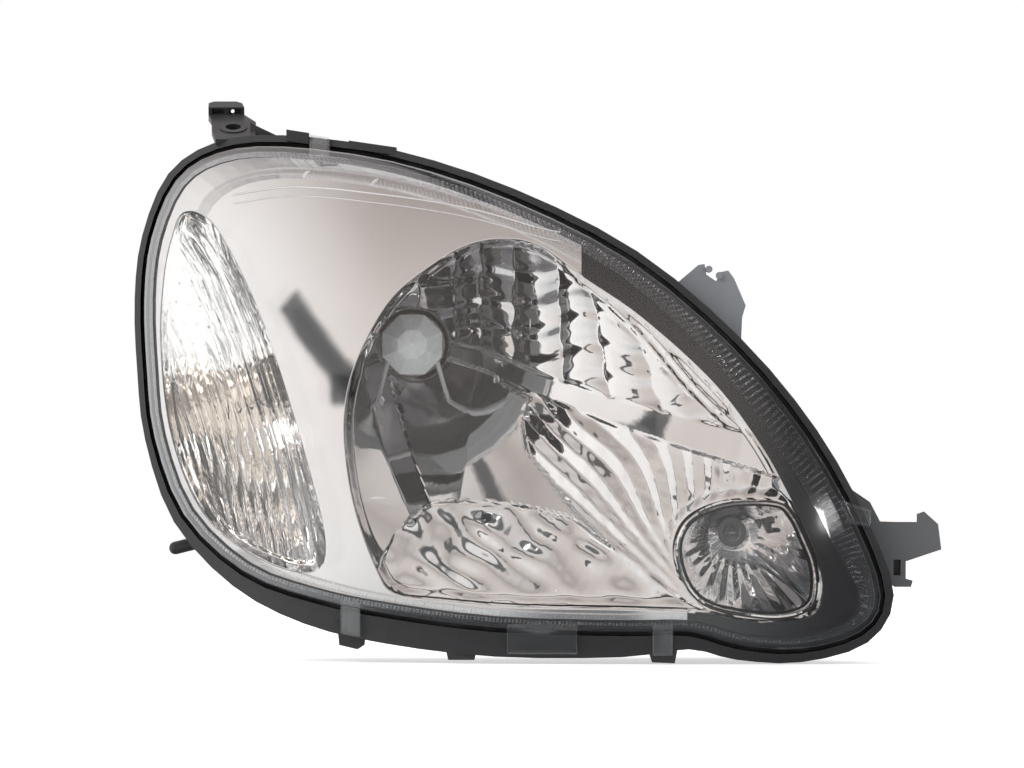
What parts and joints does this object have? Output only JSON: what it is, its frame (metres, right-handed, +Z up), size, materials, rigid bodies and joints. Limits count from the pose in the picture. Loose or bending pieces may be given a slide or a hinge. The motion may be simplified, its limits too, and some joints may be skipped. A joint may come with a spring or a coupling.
{
  "type": "car headlight assembly",
  "caption": "Right-hand car headlamp: clear curved lens, tilting faceted main reflector with bulb and shield, park lamp, turn signal, bezels, housing, levelling motor and brackets.",
  "frame": {"origin": "centre of the upper outer mounting hole, on its axis at mid thickness", "axes": "+X runs inboard along the lamp's length, +Y to the rear of the lamp (the lens faces -Y), +Z up"},
  "size_m": [0.4648, 0.238, 0.3243],
  "materials": {
    "housing_plastic": "fine moulded grain, slight sheen",
    "lens_clear": "clear hard-coated polycarbonate, fluted at the border",
    "seal_rubber": "soft black seal",
    "bezel_silver": "plastic, vacuum-aluminised and lacquered",
    "bezel_black": "gloss black moulding",
    "zinc_steel": "zinc-plated",
    "reflector_silver": "plastic, vacuum-aluminised mirror, faceted",
    "shield_satin": "satin silvered cap",
    "bulb_base_steel": "nickel-plated stamped steel",
    "bulb_glass": "clear quartz glass",
    "filament_wire": "drawn tungsten and molybdenum",
    "terminal_brass": "tinned brass",
    "spring_wire": "drawn spring wire",
    "boot_rubber": "matt moulded rubber",
    "park_silver": "plastic, vacuum-aluminised, small facets",
    "socket_grey": "glass-filled plastic",
    "turn_silver": "plastic, vacuum-aluminised, flutes",
    "turn_lens_clear": "clear inner lens, fluted",
    "turn_bulb_coated": "amber glass with a thin silver coating",
    "nylon_white": "natural nylon",
    "motor_black": "moulded case",
    "motor_grey": "moulded cover",
    "bracket_bluegrey": "blue-grey moulded nylon",
    "bracket_grey": "dark grey moulded nylon"
  },
  "bodies": {
    "lamp_body": {"housing": "housing_plastic", "lens": "lens_clear", "lens_seal": "seal_rubber", "chrome_bezel": "bezel_silver", "black_bezel": "bezel_black", "bezel_screws": "zinc_steel", "turn_reflector": "turn_silver", "turn_lens": "turn_lens_clear", "turn_gasket": "seal_rubber", "pivot_stud": "zinc_steel", "motor_case": "motor_black", "motor_cover": "motor_grey", "motor_seal": "seal_rubber", "motor_pins": "terminal_brass", "upper_bracket": "bracket_bluegrey", "lower_bracket": "bracket_grey", "bracket_screws": "zinc_steel", "vent_elbow": "boot_rubber", "breather_cap": "boot_rubber"},
    "aim_gimbal": {"pivot_socket": "nylon_white"},
    "reflector": {"main_reflector": "reflector_silver", "bulb_shield": "shield_satin", "shield_screws": "zinc_steel", "h4_base": "bulb_base_steel", "h4_glass": "bulb_glass", "h4_filaments": "filament_wire", "h4_terminals": "terminal_brass", "clip_screws": "zinc_steel", "park_reflector": "park_silver", "vertical_socket": "nylon_white", "horizontal_socket": "nylon_white"},
    "clip": {"bulb_clip": "spring_wire"},
    "park_holder": {"park_socket": "socket_grey", "park_bulb": "bulb_glass", "park_filament": "filament_wire"},
    "turn_holder": {"turn_socket": "socket_grey", "turn_bulb_base": "terminal_brass", "turn_bulb": "turn_bulb_coated", "turn_filament": "filament_wire"},
    "plunger": {"motor_plunger": "nylon_white"},
    "side_adjuster": {"horizontal_stud": "zinc_steel"},
    "side_wheel": {"horizontal_wheel": "nylon_white"},
    "boot": {"dust_boot": "boot_rubber"}
  },
  "joints": [
    {"name": "aim_horizontal", "type": "hinge", "parent": "lamp_body", "child": "aim_gimbal", "pos_m": [0.185, 0, -0.225], "axis": [0, 0, 1], "range_deg": [-2, 2]},
    {"name": "aim_vertical", "type": "hinge", "parent": "aim_gimbal", "child": "reflector", "pos_m": [0.185, 0, -0.225], "axis": [1, 0, 0], "range_deg": [-2, 2]},
    {"name": "levelling_plunger", "type": "slide", "parent": "lamp_body", "child": "plunger", "axis": [0, 1, 0], "range_m": [-0.004, 0.004]},
    {"name": "side_adjuster_travel", "type": "slide", "parent": "lamp_body", "child": "side_adjuster", "axis": [0, 1, 0], "range_m": [-0.0036, 0.0036]},
    {"name": "side_wheel_turn", "type": "hinge", "parent": "lamp_body", "child": "side_wheel", "pos_m": [0.085, 0.042, -0.225], "axis": [0, 1, 0], "range_deg": [-210, 210]},
    {"name": "boot_pull_off", "type": "slide", "parent": "lamp_body", "child": "boot", "axis": [0, 1, 0], "range_m": [0, 0.03]},
    {"name": "turn_holder_twist", "type": "hinge", "parent": "lamp_body", "child": "turn_holder", "pos_m": [0.007, 0.032, -0.15], "axis": [0, 1, 0], "range_deg": [-60, 0]},
    {"name": "park_holder_pull", "type": "slide", "parent": "reflector", "child": "park_holder", "axis": [0, 1, 0], "range_m": [0, 0.012]},
    {"name": "bulb_clip_open", "type": "hinge", "parent": "reflector", "child": "clip", "pos_m": [0.0745, -0.0038, -0.125], "axis": [0, 0, 1], "range_deg": [0, 12]}
  ],
  "couplings": [
    {"joint": "levelling_plunger", "follows": "aim_vertical", "m_per_rad": -0.112},
    {"joint": "side_adjuster_travel", "follows": "aim_horizontal", "m_per_rad": -0.1},
    {"joint": "side_wheel_turn", "follows": "aim_horizontal", "ratio": 104.72}
  ]
}
